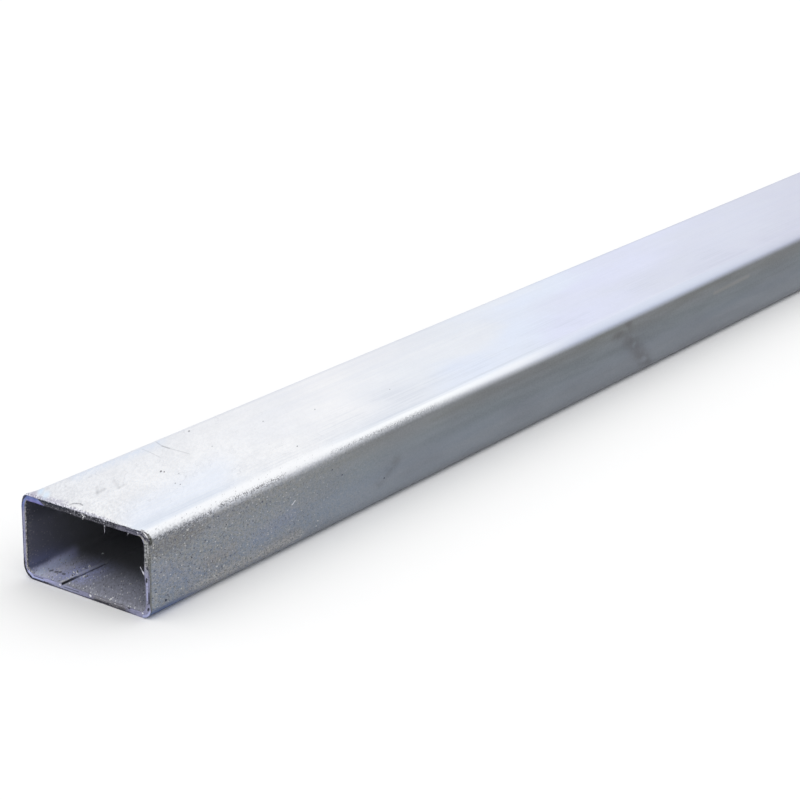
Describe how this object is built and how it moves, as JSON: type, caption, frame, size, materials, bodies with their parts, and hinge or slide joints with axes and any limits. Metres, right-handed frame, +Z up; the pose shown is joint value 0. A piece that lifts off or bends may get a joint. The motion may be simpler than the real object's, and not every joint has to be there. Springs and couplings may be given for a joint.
{
  "type": "rectangular steel tube",
  "caption": "Straight rectangular hollow steel section with rolled corners, square-cut open ends and an inner weld seam, for frames and brackets.",
  "frame": {"origin": "middle of the underside, halfway along the length", "axes": "+Y along the tube, +X across its wide face, +Z up through its height"},
  "size_m": [0.05, 1, 0.025],
  "materials": {
    "galvanised_steel": "galvanised, satin, with fine streaks along the length and bare saw-cut ends"
  },
  "bodies": {
    "root": {"tube": "galvanised_steel"}
  },
  "joints": []
}
